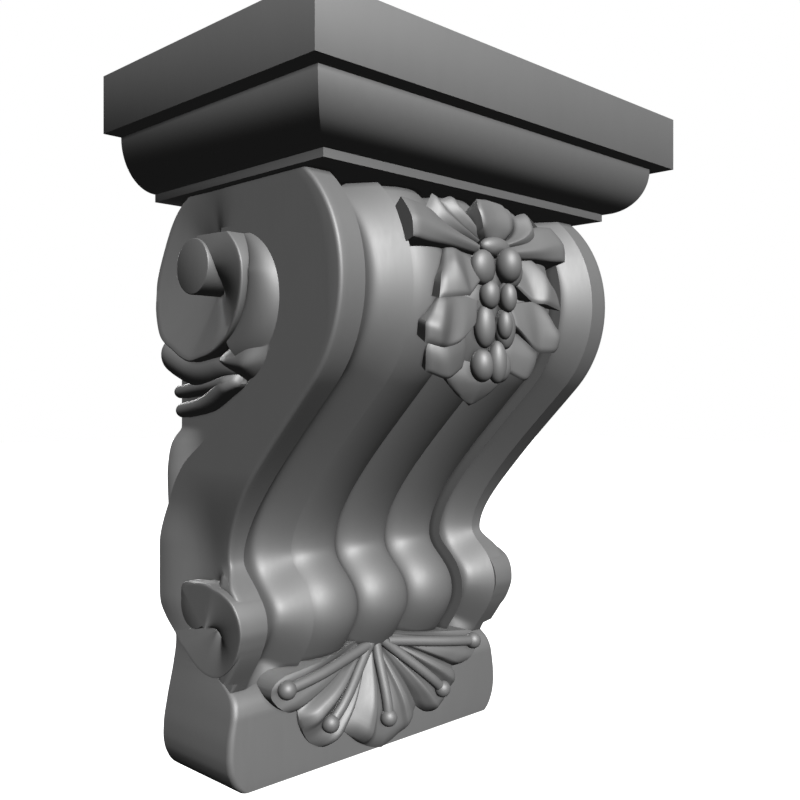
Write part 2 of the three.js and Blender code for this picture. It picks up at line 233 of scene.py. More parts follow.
def clear_selection():
    """Leaves nothing selected, in object mode."""
    if bpy.context.mode != "OBJECT":
        bpy.ops.object.mode_set(mode="OBJECT")
    bpy.ops.object.select_all(action="DESELECT")


def only(piece):
    """Makes a piece the one selected and active object."""
    clear_selection()
    piece.select_set(True)
    bpy.context.view_layer.objects.active = piece
    return piece


def named(name):
    """The object that a primitive operator has just added, under a plain name."""
    piece = bpy.context.active_object
    piece.name = name
    piece.data.name = name
    return piece


def loft(name, rings):
    """A closed solid through rings of points: a grid rolled up, welded and filled at both ends."""
    rows, around = rings.shape[:2]
    clear_selection()
    bpy.ops.mesh.primitive_grid_add(x_subdivisions=around, y_subdivisions=rows - 1)
    piece = named(name)
    rolled = np.concatenate([rings, rings[:, :1]], axis=1)
    piece.data.vertices.foreach_set("co", (rolled * MM).ravel())
    bpy.ops.object.mode_set(mode="EDIT")
    bpy.ops.mesh.select_all(action="SELECT")
    bpy.ops.mesh.remove_doubles(threshold=0.002 * MM)
    bpy.ops.mesh.fill_holes(sides=0)
    bpy.ops.mesh.select_all(action="SELECT")
    bpy.ops.mesh.normals_make_consistent(inside=False)
    bpy.ops.object.mode_set(mode="OBJECT")
    return piece


def ball(name, centre, radii):
    """A berry or lobe: a round primitive drawn out to its radii."""
    clear_selection()
    bpy.ops.mesh.primitive_uv_sphere_add(segments=32, ring_count=18, radius=1)
    piece = named(name)
    bpy.ops.object.mode_set(mode="EDIT")
    bpy.ops.mesh.select_all(action="SELECT")
    bpy.ops.transform.resize(value=[r * MM for r in radii])
    bpy.ops.transform.translate(value=[c * MM for c in centre])
    bpy.ops.object.mode_set(mode="OBJECT")
    return piece


def block(name, low, high):
    """A plain box for trimming."""
    clear_selection()
    bpy.ops.mesh.primitive_cube_add(size=1)
    piece = named(name)
    low, high = np.asarray(low, float), np.asarray(high, float)
    bpy.ops.object.mode_set(mode="EDIT")
    bpy.ops.mesh.select_all(action="SELECT")
    bpy.ops.transform.resize(value=(high - low) * MM)
    bpy.ops.transform.translate(value=(high + low) / 2 * MM)
    bpy.ops.object.mode_set(mode="OBJECT")
    return piece


def carve(piece, tools, how):
    """Joins tools to a piece or cuts them out of it, then discards them."""
    for tool in tools:
        only(piece)
        step = piece.modifiers.new("carve", "BOOLEAN")
        step.operation = how
        step.solver = "MANIFOLD"
        step.object = tool
        bpy.ops.object.modifier_apply(modifier=step.name)
        bpy.data.objects.remove(tool, do_unlink=True)
    return piece


def through(points, count):
    """Evenly spaced points on a smooth line through a few points."""
    points = np.asarray(points, float)
    steps = np.r_[0, np.cumsum(np.linalg.norm(np.diff(points[:, :2], axis=0), axis=1))]
    at = np.linspace(0, steps[-1], count)
    return np.column_stack([flow(np.column_stack([steps, column]), at) for column in points.T])


def sweep(guides, u):
    """Points across guide lines, on straight lines and on smooth ones."""
    k = np.clip(np.floor(u).astype(int), 0, len(guides) - 2)
    t = (u - k)[:, None, None]
    slope = np.gradient(guides, axis=0)
    straight = guides[k] * (1 - t) + guides[k + 1] * t
    smooth = guides[k] * (1 + 2 * t) * (1 - t) ** 2 + guides[k + 1] * t * t * (3 - 2 * t)
    smooth += t * (1 - t) * (slope[k] * (1 - t) - slope[k + 1] * t)
    return straight, smooth


def blade(name, place, lines, crisp, sink, undercut=0.0):
    """A carved leaf through guide lines that run side by side from its root to its tip.

    A guide point is (across, drop, lift). Folds are straight between the lines by the crisp share. The rim
    is softened and the walls sink into the ground, drawn in by the undercut, a share of the leaf's size.
    """
    rows = 26
    guides = np.stack([through(line, rows) for line in lines])
    gaps = len(lines) - 1
    u = np.r_[0, 0.04, 0.12, np.linspace(0.25, gaps - 0.25, 8 * gaps - 3), gaps - 0.12, gaps - 0.04, gaps]
    straight, smooth = sweep(guides, u)
    points = (straight * crisp + smooth * (1 - crisp)).transpose(1, 0, 2)
    rim = np.maximum(0, 1 - np.minimum(u, gaps - u) / 0.16)[None, :]
    tip = np.maximum(0, 1 - np.linspace(1, 0, rows) / 0.1)[:, None]
    lift = points[..., 2] - LEAF_SOFT * np.maximum(rim, tip) ** 2
    top = place(points[..., 0], points[..., 1], lift)
    root = points[0, points.shape[1] // 2, :2]
    middle = points[:, points.shape[1] // 2:points.shape[1] // 2 + 1, :2]
    foot = points[..., :2] + undercut * (middle - points[..., :2])
    foot += 0.5 * undercut * np.linspace(0, 1, rows)[:, None, None] * (root - foot)
    under = place(foot[..., 0], foot[..., 1], np.full_like(lift, -sink))
    return loft(name, np.concatenate([top, under[:, ::-3]], axis=1))


def finger(name, place, line, radius, sink):
    """A round-ended finger along a line of (across, drop, lift) points."""
    rows, across = 40, 15
    spine = through(line, rows)
    along = np.gradient(spine[:, :2], axis=0)
    pace = np.linalg.norm(along, axis=1)[:, None]
    along /= pace
    gone = np.cumsum(pace, axis=0) - pace[0]
    end = np.minimum(gone, gone[-1] - gone)
    half = radius * np.sqrt(np.maximum(0.004, 1 - np.maximum(0, 1 - end / radius) ** 2))
    turn = np.linspace(-np.pi / 2, np.pi / 2, across)[None, :]
    a = spine[:, :1] - along[:, 1:] * half * np.sin(turn)
    b = spine[:, 1:2] + along[:, :1] * half * np.sin(turn)
    top = place(a, b, spine[:, 2:] + half * np.cos(turn))
    under = place(a, b, np.full_like(a, -sink))
    return loft(name, np.concatenate([top, under[:, ::-2]], axis=1))


def rod(name, place, line, radius):
    """A round stem along a line of (across, drop, lift) points."""
    rows, facets = 30, 16
    spine = through(line, rows)
    along = np.gradient(spine[:, :2], axis=0)
    along /= np.linalg.norm(along, axis=1)[:, None]
    turn = np.linspace(0, 2 * np.pi, facets, endpoint=False)[None, :]
    a = spine[:, :1] - along[:, 1:] * radius * np.cos(turn)
    b = spine[:, 1:2] + along[:, :1] * radius * np.cos(turn)
    return loft(name, place(a, b, spine[:, 2:] + radius * np.sin(turn)))


def mirrored(side, line):
    """A guide line on one side of the middle."""
    return [(side * point[0], *point[1:]) for point in line]


def hex_colour(text):
    """Linear red, green, blue and alpha from an sRGB hex value."""
    parts = [int(text[k:k + 2], 16) / 255 for k in (1, 3, 5)]
    return [p / 12.92 if p <= 0.04045 else ((p + 0.055) / 1.055) ** 2.4 for p in parts] + [1.0]


class CapSizes(bpy.types.PropertyGroup):
    """Sizes of the cap board."""

    step: bpy.props.FloatProperty(
        name="Step", description="Ledge under the slab", default=8.2 * MM, unit="LENGTH")
    slab: bpy.props.FloatProperty(
        name="Slab", description="Thickness of the plain slab", default=24.4 * MM, unit="LENGTH")
    round_in: bpy.props.FloatProperty(
        name="Round depth", description="How far the quarter-round runs in", default=16.5 * MM,
        unit="LENGTH")
    round_high: bpy.props.FloatProperty(
        name="Round height", description="Height of the quarter-round", default=22 * MM,
        unit="LENGTH")
    edge: bpy.props.FloatProperty(
        name="Edge", description="Softening of the cut edges", default=0.5 * MM, unit="LENGTH")


class ConsoleSizes(bpy.types.PropertyGroup):
    """Sizes of the carved console."""

    half_width: bpy.props.FloatProperty(
        name="Half width", description="From the middle to a side face", default=85.5 * MM, unit="LENGTH")
    cove_depth: bpy.props.FloatProperty(
        name="Cove depth", description="Depth of the grooves beside the edges", default=9 * MM,
        unit="LENGTH")
    rib_count: bpy.props.IntProperty(
        name="Ribs", description="Ribs down the middle of the front", default=3, min=1)
    rib_depth: bpy.props.FloatProperty(
        name="Rib depth", description="Height of the ribs over their valleys", default=10.2 * MM,
        unit="LENGTH")
    eye_radius: bpy.props.FloatProperty(
        name="Eye radius", description="Round eye of the upper volute", default=11.4 * MM, unit="LENGTH")


class PaintLook(bpy.types.PropertyGroup):
    """Colours of the painted wood, and the painted shade in its recesses."""

    paint: bpy.props.FloatVectorProperty(
        name="Paint", description="Stone-grey paint", subtype="COLOR", size=4,
        default=hex_colour("#808080"))
    # The second colour is painted shade: it darkens the paint in crevices and recesses, where shade falls
    painted_shade: bpy.props.FloatVectorProperty(
        name="Hollows", description="Paint that gathers in hollows", subtype="COLOR", size=4,
        default=hex_colour("#4C4C4C"))


class StageLook(bpy.types.PropertyGroup):
    """Floor and light."""

    floor: bpy.props.FloatVectorProperty(
        name="Floor", description="Pale floor", subtype="COLOR", size=4, default=hex_colour("#FAFAFA"))
    key: bpy.props.FloatProperty(
        name="Key light", description="Strength of the soft key light", default=3.3)
    back: bpy.props.FloatProperty(
        name="Back light", description="Strength of the soft light on the far sides", default=1.8)
    fill: bpy.props.FloatProperty(
        name="Fill light", description="Strength of the light from all round", default=0.02)


def node(tree, kind, settings=None, links=None, place=(0, 0)):
    """Adds a shader node with its settings and links."""
    made = tree.nodes.new(kind)
    made.location = place
    for key, value in (settings or {}).items():
        if key in made.inputs:
            made.inputs[key].default_value = value
        else:
            setattr(made, key, value)
    for key, source in (links or {}).items():
        tree.links.new(source, made.inputs[key])
    return made


def painted_wood(name, look):
    """Satin oil paint brushed over carved wood.

    The eye gets a broad soft sheen, faint tone drifts from hand brushing, a hint of upright grain under
    the paint, and painted shade that darkens the paint in crevices and recesses.
    """
    material = bpy.data.materials.new(name)
    material.use_nodes = True
    tree = material.node_tree
    tree.nodes.clear()
    place = node(tree, "ShaderNodeTexCoord").outputs["Object"]
    # Brush drifts about 35 mm across
    drift = node(tree, "ShaderNodeTexNoise", {"Scale": 1 / (35 * MM), "Detail": 3.0},
                 {"Vector": place})
    # Grain runs upright with the carver's block: 1.6 mm wide, twelve times as long
    stretch = node(tree, "ShaderNodeMapping", {"Scale": (1, 1, 1 / 12)}, {"Vector": place})
    grain = node(tree, "ShaderNodeTexNoise", {"Scale": 1 / (1.6 * MM), "Detail": 4.0},
                 {"Vector": stretch.outputs["Vector"]})
    # Painted shade: the paint is darkened within 3 mm of a crevice or recess, where shade falls
    painted_shade = node(tree, "ShaderNodeAmbientOcclusion", {"Distance": 3 * MM, "samples": 8})
    shade = node(tree, "ShaderNodeMapRange", {"From Min": 0.15, "From Max": 0.75},
                 {"Value": painted_shade.outputs["AO"]})
    # The painted shade colour goes into the crevices, the plain paint elsewhere
    tone = node(tree, "ShaderNodeMix", {"data_type": "RGBA"}, {"Factor": shade.outputs["Result"]})
    tone.inputs["A"].default_value = look.painted_shade
    tone.inputs["B"].default_value = look.paint
    mottle = node(tree, "ShaderNodeMapRange", {"To Min": 0.96, "To Max": 1.04},
                  {"Value": drift.outputs["Fac"]})
    colour = node(tree, "ShaderNodeVectorMath", {"operation": "SCALE"},
                  {"Vector": tone.outputs["Result"], "Scale": mottle.outputs["Result"]})
    gloss = node(tree, "ShaderNodeMapRange", {"To Min": 0.56, "To Max": 0.64},
                 {"Value": grain.outputs["Fac"]})
    bump = node(tree, "ShaderNodeBump", {"Strength": 0.12, "Distance": 0.12 * MM},
                {"Height": grain.outputs["Fac"]})
    shader = node(tree, "ShaderNodeBsdfPrincipled",
                  {"IOR": 2.0, "Metallic": 0.0, "Specular IOR Level": 1.0},
                  {"Base Color": colour.outputs["Vector"], "Roughness": gloss.outputs["Result"],
                   "Normal": bump.outputs["Normal"]})
    node(tree, "ShaderNodeOutputMaterial", None, {"Surface": shader.outputs["BSDF"]})
    return material


def flat_wall_face(piece):
    """Ends the smooth shading at the outline of the face that lies on the wall."""
    faces = piece.data.polygons
    normals, centres = np.empty(3 * len(faces)), np.empty(3 * len(faces))
    faces.foreach_get("normal", normals)
    faces.foreach_get("center", centres)
    bpy.ops.object.mode_set(mode="EDIT")
    bpy.ops.mesh.select_mode(type="FACE")
    bpy.ops.mesh.select_all(action="DESELECT")
    bpy.ops.object.mode_set(mode="OBJECT")
    faces.foreach_set("select", (normals[1::3] > 0.999) & (centres[1::3] > -0.001 * MM))
    bpy.ops.object.mode_set(mode="EDIT")
    bpy.ops.mesh.region_to_loop()
    bpy.ops.mesh.mark_sharp()
    bpy.ops.object.mode_set(mode="OBJECT")


def finish(piece, material, cad_node, smooth_angle):
    """Shades, paints and registers a finished piece in place of its solid."""
    only(piece)
    bpy.ops.object.shade_smooth_by_angle(angle=math.radians(smooth_angle))
    flat_wall_face(piece)
    piece.data.materials.clear()
    piece.data.materials.append(material)
    # The studio light is direct, so the carving throws no light back on itself
    piece.visible_diffuse = False
    piece.visible_glossy = False
    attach(piece, "root")
    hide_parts(cad_node)


class BRACKET_OT_cap(bpy.types.Operator):
    """Make the moulded cap board, mitred on three sides"""

    bl_idname = "bracket.cap"
    bl_label = "Cap board"

    def execute(self, context):
        sizes = context.scene.bracket_cap
        slab = sizes.slab / MM
        step = sizes.step / MM
        turn = np.linspace(0, np.pi / 2, 25)
        inset = step + sizes.round_in / MM * (1 - np.cos(turn))
        drop = slab + sizes.round_high / MM * np.sin(turn)
        lines = np.vstack([[(0, 0), (0, slab), (step - 0.01, slab)], np.column_stack([inset, drop]),
                           [(inset[-1], CAP_DROP)]])
        half = CAP_TOP.x / MM
        depth = -CAP_LOW.y / MM
        rings = np.stack([
            spot(lines[:, 0] - half, 0, lines[:, 1]),
            spot(lines[:, 0] - half, depth - lines[:, 0], lines[:, 1]),
            spot(half - lines[:, 0], depth - lines[:, 0], lines[:, 1]),
            spot(half - lines[:, 0], 0, lines[:, 1]),
        ], axis=1)
        piece = loft("cap_board", rings)
        only(piece)
        soft = piece.modifiers.new("soft_edges", "BEVEL")
        soft.width = sizes.edge
        soft.segments = 2
        soft.limit_method = "ANGLE"
        soft.angle_limit = math.radians(CAP_SMOOTH)
        bpy.ops.object.modifier_apply(modifier=soft.name)
        paint = painted_wood("satin_painted_wood_cap", context.scene.bracket_paint)
        finish(piece, paint, "cap", CAP_SMOOTH)
        return {"FINISHED"}


def front_section(sizes):
    """Points (x, depth) across the front from the left edge to the right."""
    half = sizes.half_width / MM
    turn = np.linspace(0, np.pi / 2, 5)
    edge = np.column_stack([half - EDGE_ROUND * (1 - np.cos(turn)), EDGE_ROUND * (1 - np.sin(turn))])
    flat = np.column_stack([np.linspace(half - EDGE_ROUND, COVE_OUTER, 6)[1:-1], np.zeros(4)])
    t = np.linspace(1, -1, 27)
    bowl = np.sqrt(t * t + COVE_SOFT ** 2) - COVE_SOFT
    wall = np.where(t > 0, COVE_OUTER - COVE_DEEPEST, COVE_DEEPEST - COVE_INNER)
    cove = np.column_stack([COVE_DEEPEST + wall * t, sizes.cove_depth / MM * (1 - bowl / bowl[0])])
    right = np.vstack([edge, flat, cove])
    rib_half = COVE_INNER / sizes.rib_count
    turn = np.linspace(-RIB_SWEEP, RIB_SWEEP, 21)
    rib = np.column_stack([rib_half * np.sin(turn), sizes.rib_depth / MM * (1 - np.cos(turn))])
    ribs = [rib + ((2 * k + 1 - sizes.rib_count) * rib_half, 0) for k in range(sizes.rib_count)]
    return np.vstack([right * (-1, 1), *ribs, right[::-1]])


def s_body(sizes):
    """The S-shaped body with its listels, coves and ribs."""
    half = sizes.half_width / MM
    section = front_section(sizes)
    line = front_line(170)
    turn = np.gradient(line, axis=0)
    turn /= np.linalg.norm(turn, axis=1)[:, None]
    reach, drop = line[:, :1], line[:, 1:]
    edge, low = band_edge(drop)
    outer = reach - EDGE_ROUND
    edge = np.minimum(edge, outer - 1)
    low = np.minimum(low, edge - 0.3)
    parts = [low * np.linspace(0, 1, 13)[:-1], low + (edge - low) * np.linspace(0, 1, 11)[:-1],
             edge + (outer - edge) * np.linspace(0, 1, 17)[:-1]]
    side_reach = np.hstack(parts)
    side = side_half(half, side_reach, drop)
    left = spot(-side, side_reach, drop)
    right = spot(side, side_reach, drop)[:, ::-1]
    # The relief dies out on the way into the foot
    x, depth = section[None, :, 0], section[None, :, 1] * ease(*RELIEF_FADE, drop)
    squeeze = (side_half(half, reach, drop) - COVE_OUTER) / (half - COVE_OUTER)
    outer = np.sign(x) * (COVE_OUTER + (np.abs(x) - COVE_OUTER) * squeeze)
    x = np.where(np.abs(x) > COVE_OUTER, outer, x)
    front = spot(x, reach - turn[:, 1:] * depth, drop + turn[:, :1] * depth)
    return loft("carved_console", np.concatenate([left, front, right], axis=1))


def foot_block():
    """The barrel-sided block under the curl, its front corners softened."""
    first, last = BLOCK_EDGE
    drop = np.r_[np.linspace(BLOCK_TOP, first, 8)[:-1], np.linspace(first, last, 25)[:-1],
                 np.linspace(last, HEIGHT, 36)]
    half = flow(BLOCK_HALF, drop)
    reach = flow(BLOCK_FRONT, drop)
    turn = np.linspace(0, np.pi / 2, 7)
    corner_x = BLOCK_CORNER * (1 - np.sin(turn))
    corner_y = BLOCK_CORNER * (1 - np.cos(turn))
    right = [spot(half - c, reach - d, drop) for c, d in zip(corner_y, corner_x)]
    left = [spot(c - half, reach - d, drop) for c, d in zip(corner_y, corner_x)]
    rings = [spot(half, 0, drop), *right, *left[::-1], spot(-half, 0, drop)]
    return loft("foot_block", np.stack(rings, axis=1))


class BRACKET_OT_body(bpy.types.Operator):
    """Make the console's S-shaped body and its foot block"""

    bl_idname = "bracket.body"
    bl_label = "Console body"

    def execute(self, context):
        piece = s_body(context.scene.bracket_console)
        carve(piece, [foot_block()], "UNION")
        return {"FINISHED"}


# Scrolls on the side faces. The angle runs from straight up, towards the wall and on around, in degrees.
# Each has knots for its rim's radius, its rim's and floor's heights over the side face, and the power that
# dishes its floor. The upper rim turns a sharp corner where its two lists of radii meet. The pocket that a
# scroll sinks into has an end angle and a depth.
UPPER = {
    "centre": (39.9, 87.8),
    "apex": (41.2, 85.4),
    "turn": (-34, 346),
    "radius": [
        [(-34, 40.4), (0, 40.6), (33, 41.8), (68, 39.4), (95, 41), (118, 41.8), (140, 37), (162, 35)],
        [(162, 35), (180, 32), (208, 30.8), (275, 31.3), (302, 28.7), (346, 22)]],
    "rim": [
        (-34, -0.05), (6, -0.05), (30, 0.6), (90, 3), (162, 5.7), (208, 7), (275, 8.8), (305, 9),
        (325, 9.4), (346, 10.6)],
    "floor": [
        (-34, -0.1), (-25, -0.7), (-14, -3), (3, -8), (60, -7), (120, -5.5), (200, -3.5), (225, -2.2),
        (250, 2.2), (270, 7), (285, 9.8), (305, 11.8), (322, 12.2), (346, 12.35)],
    "dish": [(-34, 0.4), (8, 0.5), (45, 1), (90, 1.2), (250, 1.2), (285, 1.5), (322, 2.2), (346, 2.2)],
    "pocket": (285, 16),
}
# The upper scroll starts this deep under the side face and ends in a level cut at this drop
UPPER_FOOT = 24
UPPER_END_DROP = 70.7
EYE = {"centre": (42.6, 83), "height": 12.5, "foot": -16}
# The crescent beside the upper scroll: it laps under the rim, is full-height from a width on, and swells by
# a power with a small fall before the rim
SHOULDER = {
    "centre": (55.6, 97.1),
    "radius": 28,
    "height": 6.2,
    "turn": (214, 322),
    "lap": 1.5,
    "full_width": 12,
    "power": 3.2,
    "fall": 0.3,
    "fall_share": (0.84, 0.95),
    "foot": -6,
}
LOWER = {
    "centre": (35.8, 233),
    "apex": (38.2, 232.2),
    "turn": (100, 402),
    "radius": [
        [(100, 27.2), (110, 25.2), (121, 22), (132, 20.4), (148, 19.4), (164, 19.2), (200, 20), (225, 20.6),
         (246, 22), (262, 23.3), (275, 24.6), (289, 25), (302, 24.6), (319, 22.6), (340, 20.4), (360, 19.9),
         (380, 20.2), (402, 22)]],
    "rim": [
        (100, -0.5), (112, -0.2), (135, 0.05), (200, 0.3), (250, 0.8), (275, 1.3), (300, 2.4), (320, 3.1),
        (340, 3.6), (402, 3.6)],
    "floor": [
        (100, -5.2), (115, -4.8), (135, -4), (160, -3.6), (190, -4.4), (215, -5.8), (245, -6.2),
        (275, -5.4), (300, -3.4), (320, 0), (335, 2.8), (350, 3.6), (402, 3.6)],
    "dish": [(100, 0.9), (190, 0.9), (225, 0.5), (255, 0.2), (290, 0.1), (402, 0.1)],
    "pocket": (340, 9),
}
SCROLL_HEAD = {"centre": (29.8, 223.4), "radius": 9.7, "height": 3.6, "foot": -8, "corner": 0.22}
# A scroll's middle is closed at this share of its radius
SCROLL_CORE = 0.02


def around(centre, radius, angle):
    """Reach and drop at a radius and angle from a scroll's centre."""
    return centre[0] - radius * np.sin(angle), centre[1] - radius * np.cos(angle)


def rim_radius(spiral, degrees):
    """Radius of a scroll's rim, by the list of knots that holds each angle."""
    lists = spiral["radius"]
    radius = flow(lists[0], degrees)
    for knots in lists[1:]:
        radius = np.where(degrees > knots[0][0], flow(knots, degrees), radius)
    return radius


def on_scroll(side, half, spiral, degrees, radius, share, height):
    """Points at shares of the way from a scroll's apex to its rim, at heights over the side face."""
    reach, drop = around(spiral["centre"], radius, np.radians(degrees)[:, None])
    apex_reach, apex_drop = spiral["apex"]
    reach = apex_reach + (reach - apex_reach) * share
    drop = apex_drop + (drop - apex_drop) * share
    return spot(side * (half + height), reach, drop)


def scroll(side, half, spiral, foot):
    """A ramp that winds in to its centre, from a foot inside the console to its rim."""
    degrees = np.linspace(*spiral["turn"], 170)
    radius = rim_radius(spiral, degrees)[:, None]
    rim = flow(spiral["rim"], degrees)[:, None]
    floor = flow(spiral["floor"], degrees)[:, None]
    dish = flow(spiral["dish"], degrees)[:, None]
    s = np.linspace(0, 1, 20)[None, :]
    soft = np.clip(0.5 * rim, 0.02, 0.8)
    turn = np.linspace(0, np.pi / 2, 5)[None, 1:]
    none = 0 * rim
    share = np.hstack([
        SCROLL_CORE + (1 - SCROLL_CORE) * s - s * soft / radius,
        1 - soft / radius * (1 - np.sin(turn)),
        1 + none,
        SCROLL_CORE + none])
    height = np.hstack([
        floor + (rim - floor) * s ** dish,
        rim - soft * (1 - np.cos(turn)),
        foot - half + none,
        foot - half + none])
    return loft("scroll", on_scroll(side, half, spiral, degrees, radius, share, height))


def scroll_pocket(side, half, spiral):
    """The pocket that a scroll sinks into."""
    end, deep = spiral["pocket"]
    degrees = np.linspace(spiral["turn"][0] + 0.2, end, 110)
    radius = rim_radius(spiral, degrees)[:, None] - 0.3
    share = np.array([[SCROLL_CORE, 1, 1, SCROLL_CORE]]) + 0 * radius
    height = np.array([[-deep, -deep, 20, 20]]) + 0 * radius
    return loft("scroll_pocket", on_scroll(side, half, spiral, degrees, radius, share, height))


def shoulder(side, half):
    """The crescent that swells from the side face up to the upper scroll."""
    degrees = np.linspace(*SHOULDER["turn"], 70)
    angle = np.radians(degrees)
    away = np.column_stack([-np.sin(angle), -np.cos(angle)])
    offset = np.array(SHOULDER["centre"]) - UPPER["centre"]
    along = away @ offset
    outer = along + np.sqrt(SHOULDER["radius"] ** 2 - (offset @ offset - along ** 2))
    inner = rim_radius(UPPER, degrees) - SHOULDER["lap"]
    outer = np.maximum(outer, inner + 0.5)[:, None]
    inner = inner[:, None]
    s = np.linspace(0, 1, 16)[None, :]
    r = np.hstack([outer + (inner - outer) * s, inner, outer])
    swell = 1 - (1 - s) ** SHOULDER["power"] - SHOULDER["fall"] * ease(*SHOULDER["fall_share"], s)
    h = SHOULDER["height"] * swell * np.minimum(1, (outer - inner) / SHOULDER["full_width"])
    foot = 0 * inner + SHOULDER["foot"]
    h = np.hstack([h, foot, foot])
    reach, drop = around(UPPER["centre"], r, angle[:, None])
    return loft("shoulder", spot(side * (half + h), reach, drop))


def stud(side, half, shape, radius):
    """A round, flat-ended boss on a side face with a softened edge, its upper rear drawn to a corner."""
    turn = np.linspace(0, 2 * np.pi, 80, endpoint=False)
    off_corner = turn - np.radians(225)
    near_corner = np.maximum(0, np.cos(2 * off_corner)) ** 3 * (np.cos(off_corner) > 0)
    draw = 1 + shape.get("corner", 0.0) * near_corner
    place, height, soft = shape["centre"], shape["height"], 0.6
    steps = [(radius, shape["foot"]), (radius, height - soft), (radius - 0.3 * soft, height - 0.3 * soft),
             (radius - soft, height), (0.02, height)]
    rings = []
    for r, h in steps:
        reach = place[0] + r * draw * np.cos(turn)
        drop = place[1] + r * draw * np.sin(turn)
        rings.append(spot(side * (half + h), reach, drop))
    return loft("stud", np.stack(rings))


class BRACKET_OT_volutes(bpy.types.Operator):
    """Carve the upper and lower volutes on both sides"""

    bl_idname = "bracket.volutes"
    bl_label = "Side volutes"

    def execute(self, context):
        sizes = context.scene.bracket_console
        half = sizes.half_width / MM
        piece = bpy.data.objects["carved_console"]
        end = TOP_Z - UPPER_END_DROP
        for side in (-1, 1):
            pockets = [scroll_pocket(side, half, spiral) for spiral in (UPPER, LOWER)]
            carve(piece, pockets, "DIFFERENCE")
            upper = scroll(side, half, UPPER, half - UPPER_FOOT)
            carve(upper, [shoulder(side, half)], "UNION")
            inner, outer = sorted((side * (half + 0.02), side * (half + 60)))
            low, high = (inner, -110, end), (outer, -EYE["centre"][0], end + 60)
            carve(upper, [block("scroll_end", low, high)], "DIFFERENCE")
            eye = stud(side, half, EYE, sizes.eye_radius / MM)
            lower = scroll(side, half, LOWER, COVE_OUTER)
            head = stud(side, half, SCROLL_HEAD, SCROLL_HEAD["radius"])
            carve(piece, [upper, eye, lower, head], "UNION")
        return {"FINISHED"}


# Leaf sprig on each side, in points of (reach, drop, lift over the side face): round fingers with their
# radius, and the guide lines of the lip under the upper volute
SPRIG_FINGERS = {
    "lobe": (7.4, [(-6, 113, -7), (8, 120, -6), (24, 124, -5.5), (40, 121.5, -7), (52, 118, -10)]),
    "prong": (2.9, [(49, 126, -9), (42, 129.5, -4.5), (24, 131.6, -5), (2.5, 133.6, -6)]),
    "fork": (3.2, [(49, 127.5, -8), (41, 131.5, -4.6), (24, 139, -5), (4, 142, -6)]),
}
SPRIG_LIP = [
    [(77, 110.5, -2), (62, 113, 0.4), (50, 116, -0.4), (41.5, 119.6, -2)],
    [(78, 114, -0.5), (66, 117, 4), (54, 118.8, 3), (41.5, 120.2, -0.8)],
    [(76, 121, -1), (66, 124, 5.6), (54, 123, 4.2), (41.5, 120.8, -1.2)],
    [(72, 128, -3), (64, 131.5, -4), (54, 128, -4.5), (41.5, 121.4, -3)]]
SPRIG_SINK = 20


class BRACKET_OT_sprigs(bpy.types.Operator):
    """Carve the leaf sprig in the recess under each upper volute"""

    bl_idname = "bracket.sprigs"
    bl_label = "Side leaf sprigs"

    def execute(self, context):
        half = context.scene.bracket_console.half_width / MM
        piece = bpy.data.objects["carved_console"]
        for side in (-1, 1):
            def on_side(reach, drop, lift, side=side):
                """Points over the flat side face."""
                return spot(side * (half + lift), reach, drop)

            tools = [finger(name, on_side, line, radius, SPRIG_SINK)
                     for name, (radius, line) in SPRIG_FINGERS.items()]
            tools.append(blade("lip", on_side, SPRIG_LIP, 0.15, SPRIG_SINK))
            carve(piece, tools, "UNION")
        return {"FINISHED"}


# Leaf drop on the belly: guide lines of (across, drop, lift) from root to tip, outer edge first, on the
# right-hand side. The middle leaves run across the centre line.
CROWN = {
    "wing": [[(12, 77.5, 3), (29, 76.5, 4), (41, 76.2, 4.5), (49.5, 75.5, 5)],
             [(11, 75.5, 5), (29, 73, 6.5), (40, 70.5, 7), (49.6, 69, 7.2)],
             [(10, 72.5, 2.5), (24, 67.5, 3.5), (38, 61.3, 5), (48.6, 60.5, 5.6)]],
    "broad_leaf": [[(10, 73.5, 2), (24, 71.5, 3), (32.5, 67.5, 3.6), (34.8, 62, 4)],
                   [(9, 72.5, 4), (20, 69.5, 6.4), (28, 64.5, 7.4), (30.4, 58, 7.6)],
                   [(7, 71, 2), (16, 67.5, 3), (22, 62.5, 3.6), (24.4, 57.8, 4)]],
    "inner_leaf": [[(7, 71.5, 2), (15.5, 67, 3), (21.5, 62, 3.8), (23.5, 57.6, 4.4)],
                   [(5.5, 70.5, 4), (12.5, 65.5, 6.2), (17, 61, 7), (18, 57, 7.2)],
                   [(4, 69.5, 2), (8.5, 65, 3), (11, 61, 3.4), (11.6, 57.2, 3.8)]],
}
LAPPETS = {
    "lappet_1": [[(28.5, 75.5, 1), (33.5, 84, 3.5), (37.5, 90, 5.6), (39.8, 97, 7)],
                 [(25, 76.5, 2.6), (28.6, 84, 6.6), (28, 90, 8.4), (26, 95.2, 9.2)],
                 [(18, 77, 1), (20, 86, 3.4), (20.5, 94.6, 6)],
                 [(12, 77, 0.6), (12.5, 82, 2.4), (11.6, 88.5, 3.6)]],
    "lappet_2": [[(33, 94, 0.5), (39.5, 102, 3.2), (43.6, 107, 5.2), (43, 112.6, 6.4)],
                 [(30, 94, 0.6), (35.5, 103, 6), (38, 108, 8.6), (37.5, 113, 9)],
                 [(25, 94, 0.6), (28, 104, 3.6), (30.5, 113.8, 6.6)],
                 [(18, 95, 0.8), (20, 104, 4.2), (23, 111.4, 6.8)],
                 [(9, 96, 0.4), (11, 100, 1.8), (12.4, 104.5, 3.4)]],
    "lappet_3": [[(32, 109, -1), (35.8, 117, 2), (34.2, 123.6, 4.4)],
                 [(27, 109, 0), (27.4, 117, 6.4), (25, 123.8, 9)],
                 [(14, 108, -1), (12.6, 115, 1.8), (13.4, 122, 4.4)]],
}
